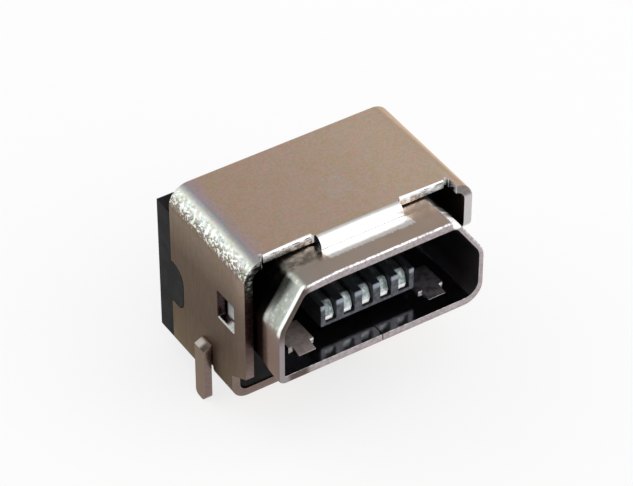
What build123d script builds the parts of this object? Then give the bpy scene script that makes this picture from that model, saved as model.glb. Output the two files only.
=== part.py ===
import os
from build123d import *

# Micro USB charging socket, in millimetres.
# The frame: Z = 0 is the board that the socket stands on, X = 0 is its plane of symmetry,
# and Y = 0 is the line through its two through-hole legs. The mouth faces -Y, and +Z is up.

# Cover: one folded sheet, a top and two side walls
cover_width = 7.89
cover_height = 5.92
cover_depth = 4.41
cover_sheet = 0.28
cover_bend = 0.63             # outer radius of the two folds along the top
top_setback = 0.30            # the top's cut front edge, behind the walls' front edges
relief_width = 0.14           # small slots that part the top's edge from the folds
relief_depth = 0.13

# The tab in the middle of the cover's front edge, folded down onto the mouth
tab_width = 3.39
tab_reach = 0.05              # the tab's face, ahead of the walls' front edges
tab_inner_bend = 0.04

# Cover's walls: window, rear notch and cut-back front corner
window_from_front = 0.75
window_width = 0.97
window_bottom = 2.86
window_height = 1.07
window_corner = 0.08
notch_depth = 0.71
notch_bottom = 1.50
notch_height = 1.62
notch_top_round = 0.55
notch_bottom_round = 0.40
corner_cut_depth = 0.94       # how far the walls' lower front corner is cut back
corner_cut_low = 1.05         # height of the cut at its inner end
corner_cut_high = 1.50        # height of the cut at the walls' front edge
corner_cut_round = 0.16

# Cover's bottom flaps, folded in under the riser block
flap_reach = 2.75             # from the wall's outer face towards the middle
flap_bend = 0.55              # outer radius

# Cover's through-hole legs, cut out of the walls and stepped outwards
leg_from_front = 2.37         # the legs' centre line, behind the walls' front edges
leg_width = 0.52
leg_step = 0.30               # how far a leg stands out of its wall
leg_step_top = 1.38
leg_step_height = 0.34
leg_below_board = 0.80
leg_tip_round = 0.18
leg_slot_gap = 0.05

# Mouth shell: a rolled tube, wide side down, with slanted upper corners
mouth_reach = 1.29            # the lip, ahead of the cover's walls
mouth_sheet = 0.20
opening_width = 6.90
opening_height = 2.86
opening_floor = 2.49          # height of the opening's floor above the board
slant_width = 0.83            # the slanted corners of the opening
slant_height = 1.25
rim_side = 0.19               # width of the lip's face at the sides, top and bottom
rim_top = 0.39
rim_bottom = 0.30
rim_round = 0.06
crown_round = 0.30            # inner radii where a slant meets the top and the side
shoulder_round = 0.55
floor_round_left = 0.12
floor_round_right = 0.48
seam_gap = 0.03               # the sheet's two edges meet under the mouth

# Housing: the black insulator, with the tongue that carries the contacts
housing_thickness = 0.65      # the block that closes the mouth's tube
flange_thickness = 0.28
tongue_recess = 0.85          # the tongue's tip, behind the lip
tongue_width = 3.32
tongue_bottom = 2.93
tongue_plate = 0.45
rib_height = 0.34
nose_notch_length = 0.45
nose_notch_depth = 0.34

# Contacts: five bent strips
contact_count = 5
contact_pitch = 0.65
contact_width = 0.32
contact_thickness = 0.17
contact_bend = 0.16
nose_drop = 0.36              # how far a contact's nose dips over the tongue's tip
nose_length = 0.16
nose_recess = 0.07            # a contact's nose, behind the tongue's tip
tail_row_inset = 0.42         # the front row of tails, ahead of the cover's rear edge
tail_row_step = 0.62          # every second tail stands this much further back
tail_below_board = 0.75

# Riser block: the plastic that lifts the mouth off the board and guides the tails
riser_recess = 0.05           # its front, behind the flaps' front edges
plug_length = 0.45            # its upright part between the cover's walls
plug_gap = 0.31               # between the housing's flange and that upright part
backplate_thickness = 0.85    # what shows behind the cover
backplate_height = 5.00
backplate_round = 0.14

# Clearances
shell_clearance = 0.02        # mouth shell inside the cover
plastic_clearance = 0.03      # plastic inside metal
contact_clearance = 0.03      # contacts in their grooves and slots
cut_margin = 1.0              # how far cutting tools run past what they cut

# Places that follow from these
half_width = cover_width / 2
inner_half = half_width - cover_sheet
cover_front = -leg_from_front
cover_rear = cover_front + cover_depth
slot_half = leg_width / 2 + leg_slot_gap
flap_front = cover_front + corner_cut_depth
flap_rear = -slot_half
lip_y = cover_front - mouth_reach
plug_front = cover_rear - plug_length
mouth_rear = plug_front - plug_gap - flange_thickness
tab_face = cover_front - tab_reach
tab_bottom = cover_height - cover_sheet - tab_inner_bend
neck_half = inner_half - shell_clearance
neck_top = tab_bottom
neck_bottom = opening_floor - mouth_sheet
tongue_tip = lip_y + tongue_recess
housing_front = mouth_rear - housing_thickness
groove_floor = tongue_bottom + tongue_plate
contact_xs = [contact_pitch * (i - (contact_count - 1) / 2) for i in range(contact_count)]
groove_width = contact_width + 2 * contact_clearance
riser_half = inner_half - plastic_clearance
riser_front = flap_front + riser_recess
backplate_rear = cover_rear + backplate_thickness


def across(y):
    """A plane that faces the mouth at depth y, with X to the right and Z up."""
    return Plane((0, y, 0), x_dir=(1, 0, 0), z_dir=(0, -1, 0))


def beside(x):
    """A plane along the socket at x, with Y to the right and Z up."""
    return Plane((x, 0, 0), x_dir=(0, 1, 0), z_dir=(1, 0, 0))


def box_between(low, high):
    """A box from its lowest corner to its highest."""
    size = [h - l for l, h in zip(low, high)]
    return Pos(*low) * Box(*size, align=(Align.MIN, Align.MIN, Align.MIN))


def outline(points, radii):
    """A closed flat shape with one corner radius for each point."""
    return make_face(FilletPolyline(*points, radius=radii, close=True))


def strip(points, radii, thickness):
    """A sheet seen edge-on: one thickness along a centre line with rounded bends."""
    return trace(FilletPolyline(*points, radius=radii), thickness)


def both_sides(solid):
    """A solid on the left and its mirror image on the right."""
    return solid + mirror(solid, about=Plane.YZ)


def mouth_section(y, half, floor, top, grow):
    """The mouth's outline at depth y; grow is the sheet's thickness outside the opening's own radii."""
    slant_x = half - slant_width
    slant_z = top - slant_height
    points = [(-half, floor), (half, floor), (half, slant_z), (slant_x, top), (-slant_x, top), (-half, slant_z)]
    radii = [floor_round_left, floor_round_right, shoulder_round, crown_round, crown_round, shoulder_round]
    return across(y) * outline(points, [r + grow for r in radii])


def tube(y_lip, lip, neck, grow):
    """The mouth's outer or inner volume: a flare from the lip to the tab, then a straight neck."""
    lip_face = mouth_section(y_lip, *lip, grow)
    neck_face = mouth_section(tab_face, *neck, grow)
    flare = loft([lip_face, neck_face], ruled=True)
    return flare + extrude(neck_face, amount=tab_face - mouth_rear)


def make_mouth_shell():
    """Rolled sheet tube with a wider lip and a seam under the mouth."""
    lip_outer = (opening_width / 2 + rim_side, opening_floor - rim_bottom, opening_floor + opening_height + rim_top)
    lip_inner = (opening_width / 2, opening_floor, opening_floor + opening_height)
    neck_outer = (neck_half, neck_bottom, neck_top)
    neck_inner = (neck_half - mouth_sheet, neck_bottom + mouth_sheet, neck_top - mouth_sheet)
    shell = tube(lip_y, lip_outer, neck_outer, mouth_sheet) - tube(lip_y, lip_inner, neck_inner, 0)
    rim = shell.faces().filter_by(Axis.Y).sort_by(Axis.Y)[0]
    shell = fillet(rim.outer_wire().edges(), rim_round)
    seam = box_between((-seam_gap / 2, lip_y - cut_margin, neck_bottom - cut_margin),
                       (seam_gap / 2, mouth_rear + cut_margin, opening_floor + mouth_sheet))
    return shell - seam


def arch(half, top, radius, base, y):
    """A block's outline from the front, with its two upper corners rounded."""
    points = [(-half, base), (half, base), (half, top), (-half, top)]
    return across(y) * outline(points, [0, 0, radius, radius])


def make_folded_sheet():
    """The cover's top and walls before anything is cut out of them."""
    outer = arch(half_width, cover_height, cover_bend, 0, cover_front)
    inner = arch(inner_half, cover_height - cover_sheet, cover_bend - cover_sheet, -cut_margin, cover_front)
    return extrude(outer - inner, amount=-cover_depth)


def notch_outline(shrink):
    """The notch in a wall's rear edge, or the boss that fills it when shrunk by a clearance."""
    front = cover_rear - notch_depth + shrink
    low = notch_bottom + shrink
    high = notch_bottom + notch_height - shrink
    rear = cover_rear + backplate_thickness / 2
    points = [(front, low), (rear, low), (rear, high), (front, high)]
    return outline(points, [notch_bottom_round - shrink, 0, 0, notch_top_round - shrink])


def wall_cutters():
    """Everything cut through both walls: window, rear notch, front corner and leg slot."""
    window_front = cover_front + window_from_front
    window = outline([(window_front, window_bottom), (window_front + window_width, window_bottom),
                      (window_front + window_width, window_bottom + window_height),
                      (window_front, window_bottom + window_height)], [window_corner] * 4)
    corner = outline([(cover_front - cut_margin, corner_cut_high), (cover_front - cut_margin, -cut_margin),
                      (flap_front, -cut_margin), (flap_front, corner_cut_low),
                      (cover_front, corner_cut_high)],
                     [0, 0, 0, corner_cut_round, 0])
    slot = outline([(-slot_half, -cut_margin), (slot_half, -cut_margin),
                    (slot_half, leg_step_top), (-slot_half, leg_step_top)], [0, 0, 0, 0])
    through = cover_width + 2 * cut_margin
    start = beside(-through / 2)
    return [extrude(start * shape, amount=through) for shape in (window, corner, slot, notch_outline(0))]


def make_flap():
    """Left bottom flap: the wall's lower edge folded in under the riser block."""
    middle = -half_width + cover_sheet / 2
    line = [(middle, flap_bend + cover_sheet), (middle, cover_sheet / 2), (-half_width + flap_reach, cover_sheet / 2)]
    profile = strip(line, [flap_bend - cover_sheet / 2], cover_sheet)
    return extrude(across(flap_front) * profile, amount=flap_front - flap_rear)


def make_leg():
    """Left through-hole leg: a strip cut out of the wall, stepped outwards, with a rounded tip."""
    middle = -half_width + cover_sheet / 2
    step_bottom = leg_step_top - leg_step_height
    line = [(middle, leg_step_top + cover_sheet), (middle, leg_step_top),
            (middle - leg_step, step_bottom), (middle - leg_step, -leg_below_board)]
    profile = strip(line, [cover_sheet / 2, cover_sheet / 2], cover_sheet)
    leg = extrude(across(-leg_width / 2) * profile, amount=-leg_width)
    tip = leg.faces().filter_by(Axis.Z).sort_by(Axis.Z)[0]
    return fillet(tip.edges().filter_by(Axis.X), leg_tip_round)


def make_tab():
    """The tab at the middle of the top's front edge, bent down onto the mouth."""
    middle_z = cover_height - cover_sheet / 2
    middle_y = tab_face + cover_sheet / 2
    line = [(cover_front + top_setback + cover_sheet, middle_z), (middle_y, middle_z), (middle_y, tab_bottom)]
    profile = strip(line, [tab_inner_bend + cover_sheet / 2], cover_sheet)
    return extrude(beside(-tab_width / 2) * profile, amount=tab_width)


def make_cover():
    """The whole cover: folded sheet, cuts, tab, flaps and legs."""
    cover = make_folded_sheet()
    for cutter in wall_cutters():
        cover -= cutter
    flat_half = half_width - cover_bend
    top_edge = cover_front + top_setback
    above = cover_height + cut_margin
    below = cover_height - cover_sheet - cut_margin
    cover -= box_between((-flat_half, cover_front - cut_margin, below), (flat_half, top_edge, above))
    cover -= both_sides(box_between((-flat_half, top_edge - cut_margin, below),
                                    (-flat_half + relief_width, top_edge + relief_depth, above)))
    cover -= both_sides(box_between((-half_width - cut_margin, flap_front, -cut_margin),
                                    (-inner_half + cut_margin, flap_rear, flap_bend)))
    return cover + make_tab() + both_sides(make_flap()) + both_sides(make_leg())


def groove(x, low, high, front, rear):
    """The room for one contact: its width and clearance, between two heights and two depths."""
    return box_between((x - groove_width / 2, front, low), (x + groove_width / 2, rear, high))


def make_housing():
    """Insulator: a block that closes the tube, a flange behind it and the ribbed tongue."""
    fit = plastic_clearance
    half = neck_half - mouth_sheet - fit
    block = mouth_section(housing_front, half, neck_bottom + mouth_sheet + fit, neck_top - mouth_sheet - fit, 0)
    housing = extrude(block, amount=housing_front - mouth_rear)
    flange = mouth_section(mouth_rear, neck_half, neck_bottom, neck_top, mouth_sheet)
    housing += extrude(flange, amount=-flange_thickness)
    ribs_top = groove_floor + rib_height
    housing += box_between((-tongue_width / 2, tongue_tip, tongue_bottom), (tongue_width / 2, housing_front, ribs_top))
    slot_top = groove_floor + contact_thickness + contact_clearance
    for x in contact_xs:
        housing -= groove(x, groove_floor, ribs_top + cut_margin, tongue_tip - cut_margin, housing_front)
        housing -= groove(x, groove_floor, slot_top, tongue_tip, mouth_rear + flange_thickness + cut_margin)
        housing -= groove(x, groove_floor - nose_notch_depth, ribs_top + cut_margin,
                          tongue_tip - cut_margin, tongue_tip + nose_notch_length)
    return housing


def tail_y(index):
    """Depth of a tail's centre: every second tail stands in the rear row."""
    return cover_rear - tail_row_inset + tail_row_step * (index % 2)


def make_contact(index):
    """One contact: nose over the tongue's tip, beam in its groove, tail down through the riser block."""
    middle_z = groove_floor + contact_thickness / 2
    nose_y = tongue_tip + nose_recess + contact_thickness / 2
    line = [(nose_y, middle_z - nose_drop), (nose_y + nose_length, middle_z),
            (tail_y(index), middle_z), (tail_y(index), -tail_below_board)]
    profile = strip(line, [contact_bend, contact_bend + contact_thickness], contact_thickness)
    start = contact_xs[index] - contact_width / 2
    return extrude(beside(start) * profile, amount=contact_width)


def make_riser_block():
    """Spacer under the mouth, plug between the walls, back plate and the two bosses."""
    flap_end = half_width - flap_reach
    over_flaps = cover_sheet + plastic_clearance
    lower_round = flap_bend - cover_sheet + plastic_clearance
    points = [(-riser_half, over_flaps), (riser_half, over_flaps), (riser_half, neck_bottom), (-riser_half, neck_bottom)]
    front_part = across(riser_front) * outline(points, [lower_round, lower_round, 0, 0])
    riser = extrude(front_part, amount=riser_front - flap_rear - plastic_clearance)
    riser += box_between((-flap_end + plastic_clearance, riser_front, 0),
                         (flap_end - plastic_clearance, flap_rear + plastic_clearance, over_flaps))
    riser += box_between((-riser_half, flap_rear + plastic_clearance, 0), (riser_half, cover_rear, neck_bottom))
    inner_round = cover_bend - cover_sheet
    plug = arch(riser_half, cover_height - cover_sheet - plastic_clearance, inner_round, 0, plug_front)
    riser += extrude(plug, amount=-plug_length)
    plate = extrude(arch(half_width, backplate_height, 0, 0, cover_rear), amount=-backplate_thickness)
    behind = plate.faces().filter_by(Axis.Y).sort_by(Axis.Y)[-1]
    riser += fillet(behind.edges(), backplate_round)
    boss = extrude(beside(-half_width) * notch_outline(plastic_clearance), amount=half_width - riser_half)
    riser += both_sides(boss)
    slot_top = groove_floor + contact_thickness + 2 * contact_clearance
    for index, x in enumerate(contact_xs):
        slot_rear = tail_y(index) + contact_thickness / 2 + contact_clearance
        riser -= groove(x, -cut_margin, slot_top, mouth_rear + flange_thickness, slot_rear)
    return riser


def make_parts():
    """Every piece of the socket by the name of its node."""
    parts = {"cover": make_cover(), "mouth_shell": make_mouth_shell(),
             "housing": make_housing(), "riser_block": make_riser_block()}
    for index in range(contact_count):
        parts[f"contact_{index + 1}"] = make_contact(index)
    return parts


os.makedirs("parts", exist_ok=True)
for name, solid in make_parts().items():
    export_step(solid, f"parts/{name}.step")
    print(name, round(solid.volume, 4))
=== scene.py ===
# %% [markdown]
# # A micro USB charging socket, dressed in Blender
#
# The socket is 8 mm wide: a folded metal cover, a flared metal mouth pushed in under it, and black
# plastic inside with five contacts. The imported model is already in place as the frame, so every
# piece made here goes where the frame says, in metres, and keeps its place in its own mesh.

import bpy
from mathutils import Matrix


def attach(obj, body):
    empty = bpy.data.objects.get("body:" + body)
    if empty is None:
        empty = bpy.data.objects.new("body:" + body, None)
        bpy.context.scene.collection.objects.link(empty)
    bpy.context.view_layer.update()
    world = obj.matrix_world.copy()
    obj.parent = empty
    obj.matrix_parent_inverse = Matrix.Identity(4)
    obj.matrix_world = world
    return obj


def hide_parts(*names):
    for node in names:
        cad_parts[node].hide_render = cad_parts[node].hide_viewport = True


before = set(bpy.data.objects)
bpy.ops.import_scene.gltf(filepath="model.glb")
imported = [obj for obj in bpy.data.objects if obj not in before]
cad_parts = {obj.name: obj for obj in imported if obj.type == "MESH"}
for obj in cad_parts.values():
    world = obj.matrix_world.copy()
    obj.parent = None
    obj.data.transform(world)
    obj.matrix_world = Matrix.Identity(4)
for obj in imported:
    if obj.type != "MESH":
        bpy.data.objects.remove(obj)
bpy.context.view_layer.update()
print("nodes:", ", ".join(sorted(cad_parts)))

# %% The rest of what the lesson needs
import math

import bmesh
import bpy
from mathutils import Vector

MM = 0.001
DEGREES = 180 / math.pi      # in a radian
WHITE = (1.0, 1.0, 1.0)

# %% [markdown]
# ## Working in edit mode from code
#
# By hand, you click faces and edges. In code, the same choice is made by asking each face or edge
# where it is and which way it points. Places are given in millimetres from the middle of the board
# face, because that is how a drawing of the socket would be read.

# %% Small helpers for edit mode
def mm(x, y, z):
    """A point in metres from a point in millimetres."""
    return Vector((x, y, z)) * MM


def let_go():
    """Leaves edit mode and deselects every object."""
    if bpy.context.object and bpy.context.object.mode == "EDIT":
        bpy.ops.object.mode_set(mode="OBJECT")
    bpy.ops.object.select_all(action="DESELECT")


def take(piece, mode="OBJECT"):
    """Makes one object the only selected and active one."""
    let_go()
    piece.select_set(True)
    bpy.context.view_layer.objects.active = piece
    bpy.ops.object.mode_set(mode=mode)


def choose(kind, wanted):
    """In edit mode, selects the faces, edges or corners that pass a test, and returns how many."""
    bpy.ops.mesh.select_mode(type=kind)
    bpy.ops.mesh.select_all(action="DESELECT")
    mesh = bmesh.from_edit_mesh(bpy.context.object.data)
    chosen = 0
    for part in {"VERT": mesh.verts, "EDGE": mesh.edges, "FACE": mesh.faces}[kind]:
        corners = [part] if kind == "VERT" else part.verts
        places = [corner.co / MM for corner in corners]
        if wanted(part, places):
            part.select_set(True)
            chosen += 1
    bmesh.update_edit_mesh(bpy.context.object.data)
    return chosen


def choose_all():
    """In edit mode, selects the whole mesh."""
    bpy.ops.mesh.select_all(action="SELECT")


def between(value, low, high):
    """Whether a value lies between two others, give or take a thousandth."""
    return low - 0.001 <= value <= high + 0.001


def middle(places):
    """The mean of some corners."""
    return sum(places, Vector()) / len(places)


def extrude(x, y, z):
    """Extrudes what is selected and moves it by millimetres."""
    bpy.ops.mesh.extrude_region_move(TRANSFORM_OT_translate={"value": mm(x, y, z)})


def apply(piece, kind, **settings):
    """Adds a modifier with its settings and applies it."""
    take(piece)
    modifier = piece.modifiers.new(kind.lower(), kind)
    for key, value in settings.items():
        setattr(modifier, key, value)
    bpy.ops.object.modifier_apply(modifier=modifier.name)


def count(piece):
    """Prints how many faces a piece has, and how many open edges."""
    let_go()
    mesh = bmesh.new()
    mesh.from_mesh(piece.data)
    still_open = sum(not e.is_manifold for e in mesh.edges)
    print(piece.name, "has", len(mesh.faces), "faces and", still_open, "open edges")
    mesh.free()
    take(piece, "EDIT")


# %% A block, a flat outline, and a rod cut to an outline
def block(name, low, high):
    """A cube primitive between two corners in mm, left in edit mode."""
    let_go()
    low, high = Vector(low), Vector(high)
    bpy.ops.mesh.primitive_cube_add(size=1, location=(low + high) / 2 * MM, scale=(high - low) * MM)
    piece = bpy.context.object
    piece.name = name
    bpy.ops.object.transform_apply(location=True, rotation=False, scale=True)
    bpy.ops.object.mode_set(mode="EDIT")
    return piece


def spot(axis, depth, a, b):
    """A point on a plane across x, y or z; a and b are the two other coordinates in order."""
    return {"x": mm(depth, a, b), "y": mm(a, depth, b), "z": mm(a, b, depth)}[axis]


def outline(name, axis, depth, corners, rounds, steps=5, fill="NGON"):
    """A flat outline: a circle primitive moved to the corners, each then rounded by a vertex bevel."""
    let_go()
    bpy.ops.mesh.primitive_circle_add(vertices=len(corners), radius=MM, fill_type=fill)
    piece = bpy.context.object
    piece.name = name
    places = [spot(axis, depth, a, b) for a, b in corners]
    for corner, place in zip(piece.data.vertices, places):
        corner.co = place
    bpy.ops.object.transform_apply(location=True, rotation=True, scale=True)
    bpy.ops.object.mode_set(mode="EDIT")
    for i, size in enumerate(rounds):
        if size:
            here = places[i]
            to_last, to_next = places[i - 1] - here, places[(i + 1) % len(places)] - here
            reach = size / math.tan(to_last.angle(to_next) / 2)
            choose("VERT", lambda v, p: (p[0] * MM - here).length < 1e-7)
            bpy.ops.mesh.bevel(offset=reach * MM, offset_type="OFFSET", segments=steps, affect="VERTICES")
    return piece


def rod(name, axis, start, end, corners, rounds):
    """A solid with that outline, from one depth to another."""
    piece = outline(name, axis, start, corners, rounds)
    choose_all()
    extrude(*(spot(axis, end - start, 0, 0) / MM))
    choose_all()
    bpy.ops.mesh.normals_make_consistent(inside=False)
    return piece


def cut(piece, cutters):
    """Cuts each cutter out of a piece, and throws the cutter away."""
    for cutter in cutters:
        let_go()
        apply(piece, "BOOLEAN", object=cutter, operation="DIFFERENCE", solver="EXACT", material_mode="TRANSFER")
        bpy.data.objects.remove(cutter)


print("ready to model")

# %% [markdown]
# ## Camera
#
# The photograph was taken from the front left and well above, with a long lens: the socket's edges
# stay almost parallel. The camera stands where a camera fitted to those edges stands.

# %% Put the camera where the photograph was taken from
camera_place = mm(-39.329, -61.298, 66.018)
camera_aim = mm(-0.181, -0.26, 3.719)
let_go()
bpy.ops.object.camera_add(location=camera_place)
camera = bpy.context.object
camera.name = "photo_camera"
camera.rotation_euler = (camera_aim - camera_place).to_track_quat("-Z", "Y").to_euler()
camera.data.lens = 179.88
camera.data.sensor_width = 36
camera.data.clip_start = 0.002
camera.data.clip_end = 5
bpy.context.scene.camera = camera
bpy.context.scene.view_settings.view_transform = "Standard"
print("camera is", round((camera_aim - camera_place).length / MM, 1), "mm away")

# %% [markdown]
# ## Wiring finishes
#
# Each finish is a few nodes on Object coordinates, so a pattern stays on its piece. Coordinates are
# turned into millimetres first, because then a noise scale reads as "so many bumps per millimetre".
# One node tree is wired at a time, so the helpers share it and each call stays short.

# %% Helpers for material nodes
class Wiring:
    """Holds the node tree that the helpers below add to."""
    tree = None


def wire(kind, fill=None, out=0, **settings):
    """Adds a node, sets it up, fills its sockets with values or links, and returns an output."""
    return wire_all(kind, fill, **settings)[out]


def wire_all(kind, fill=None, **settings):
    """The same, but returns all the outputs."""
    node = Wiring.tree.nodes.new(kind)
    for key, value in settings.items():
        setattr(node, key, value)
    for key, value in (fill or {}).items():
        if isinstance(value, bpy.types.NodeSocket):
            Wiring.tree.links.new(value, node.inputs[key])
        else:
            node.inputs[key].default_value = value
    return node.outputs


def millimetres():
    """Object coordinates in millimetres."""
    place = wire("ShaderNodeTexCoord", out=3)
    return wire("ShaderNodeVectorMath", {0: place, 1: (1000, 1000, 1000)}, operation="MULTIPLY")


def split(vector):
    """The x, y and z of a vector."""
    return wire_all("ShaderNodeSeparateXYZ", {0: vector})


def facing():
    """The surface's own direction, in object coordinates, as x, y and z."""
    return split(wire("ShaderNodeTexCoord", out=1))


def maths(operation, a, b=0.0, c=0.0):
    """One Math node."""
    return wire("ShaderNodeMath", {0: a, 1: b, 2: c}, operation=operation)


def times(a, b):
    """One value multiplied by another."""
    return maths("MULTIPLY", a, b)


def scaled(value, by, plus):
    """A value multiplied by a number, with another added."""
    return maths("MULTIPLY_ADD", value, by, plus)


def either(a, b):
    """The larger of two values."""
    return maths("MAXIMUM", a, b)


def below(value, limit):
    """1 where a value is less than a limit, and 0 elsewhere."""
    return maths("LESS_THAN", value, limit)


def above(value, limit):
    """1 where a value is more than a limit, and 0 elsewhere."""
    return maths("GREATER_THAN", value, limit)


def size_of(value):
    """A value without its sign."""
    return maths("ABSOLUTE", value)


def ease(value, low, high):
    """0 below low, 1 above high, and a smooth step between them."""
    return wire("ShaderNodeMapRange", {0: value, 1: low, 2: high, 3: 0.0, 4: 1.0},
                interpolation_type="SMOOTHSTEP")


def noise(place, scale, detail=2.0, rough=0.5):
    """Cloudy noise, with so many clouds per millimetre."""
    return wire("ShaderNodeTexNoise", {"Vector": place, "Scale": scale, "Detail": detail, "Roughness": rough})


def stretch(place, x, y, z):
    """Coordinates squeezed or stretched along each axis."""
    return wire("ShaderNodeVectorMath", {0: place, 1: (x, y, z)}, operation="MULTIPLY")


def both(*masks):
    """Masks multiplied together."""
    result = masks[0]
    for mask in masks[1:]:
        result = times(result, mask)
    return result


def reverse(mask):
    """One less a mask."""
    return maths("SUBTRACT", 1.0, mask)


def ramp(value, stops):
    """A colour ramp through (position, colour) stops."""
    node = Wiring.tree.nodes.new("ShaderNodeValToRGB")
    Wiring.tree.links.new(value, node.inputs[0])
    elements = node.color_ramp.elements
    while len(elements) < len(stops):
        elements.new(0.5)
    for element, (position, colour) in zip(elements, stops):
        element.position = position
        element.color = (*colour, 1)
    return node.outputs[0]


def mix(factor, a, b, how="MIX"):
    """Mixes two colours."""
    a, b = [(*c, 1) if isinstance(c, tuple) else c for c in (a, b)]
    return wire("ShaderNodeMix", {0: factor, 6: a, 7: b}, out=2, data_type="RGBA", blend_type=how)


def tint(factor, colour, by):
    """A colour multiplied by another."""
    return mix(factor, colour, by, "MULTIPLY")


def distance(place, point):
    """How far a place is from a point, in millimetres."""
    return wire("ShaderNodeVectorMath", {0: place, 1: point}, out=1, operation="DISTANCE")


def bumps(height, size):
    """A bump from a height between 0 and 1; size is in millimetres."""
    return wire("ShaderNodeBump", {"Height": height, "Distance": size * MM, "Strength": 1.0})


def finish(name, metallic, **fixed):
    """An empty finish: a material and its shader, with fixed numbers on the shader's own sockets."""
    material = bpy.data.materials.new(name)
    material.use_nodes = True
    shader = material.node_tree.nodes["Principled BSDF"]
    shader.inputs["Metallic"].default_value = metallic
    for key, value in fixed.items():
        shader.inputs[key.replace("_", " ")].default_value = value
    Wiring.tree = material.node_tree
    return material, shader


def feed(shader, **sockets):
    """Links outputs to the shader's sockets by name."""
    for key, output in sockets.items():
        Wiring.tree.links.new(output, shader.inputs[key.replace("_", " ")])


print("ready to wire finishes")

# %% [markdown]
# ## Cover metal
#
# The cover is tin-plated sheet. Its top is a matt warm taupe. On the left fold, a lavender and cold grey
# line where the fold starts and a bright grainy band on its outside are painted reflections and a
# painted highlight. The walls below are painted dark and brown, a painted dark reflection. All of this
# follows the fold, so the colour is read from the angle round the fold's axis.

# %% Colours round the fold
FOLD_X, FOLD_Z = 3.315, 5.29       # the fold's axis, in mm
TOP_OF_COVER = 5.92
RAMP_START, RAMP_SPAN = -90, 270   # the angles that the fold's colour ramps run over

TAUPE = (0.72, 0.535, 0.43)
LAVENDER = (0.68, 0.54, 0.58)
COLD_GREY = (0.50, 0.52, 0.60)
STONE_GREY = (0.52, 0.52, 0.51)
FOLD_HIGHLIGHT = (0.68, 0.75, 0.74)
DARK_BROWN = (0.20, 0.16, 0.13)
# The left fold's lavender, cold grey, stone grey and bright bands are painted reflections and a painted
# highlight; the right fold has none. The brown where both ramps reach the walls is a painted dark reflection.
LEFT_FOLD = [(-90, TAUPE), (-28, TAUPE), (-8, LAVENDER), (3, LAVENDER), (7, COLD_GREY), (12, COLD_GREY),
             (19, STONE_GREY), (30, FOLD_HIGHLIGHT), (68, FOLD_HIGHLIGHT), (84, DARK_BROWN), (112, DARK_BROWN)]
RIGHT_FOLD = [(-90, TAUPE), (66, TAUPE), (92, DARK_BROWN)]
# The walls are painted dark brown as a painted dark reflection: darkest a little above the foot, lighter at the
# foot and under the fold.
WALL_COLOURS = [(0.0, (0.160, 0.130, 0.095)), (0.38, (0.107, 0.083, 0.074)), (0.72, (0.120, 0.094, 0.084)),
                (0.97, (0.255, 0.210, 0.185))]     # up the wall, as a share of the fold's height
BROWN_GRAZE = (0.84, 0.74, 0.64, 1)        # what the tarnish leaves of the metal's shine at a low angle


def fold_angle(x, z):
    """Degrees round the nearer fold: 0 where the flat top ends, 90 where the wall starts."""
    across = maths("SUBTRACT", size_of(x), FOLD_X)
    up = maths("SUBTRACT", z, FOLD_Z)
    return times(maths("ARCTAN2", across, up), DEGREES)


def fold_ramp(on_ramp, colours):
    """A ramp through colours that are listed by their angle round the fold."""
    return ramp(on_ramp, [((angle - RAMP_START) / RAMP_SPAN, colour) for angle, colour in colours])


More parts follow.
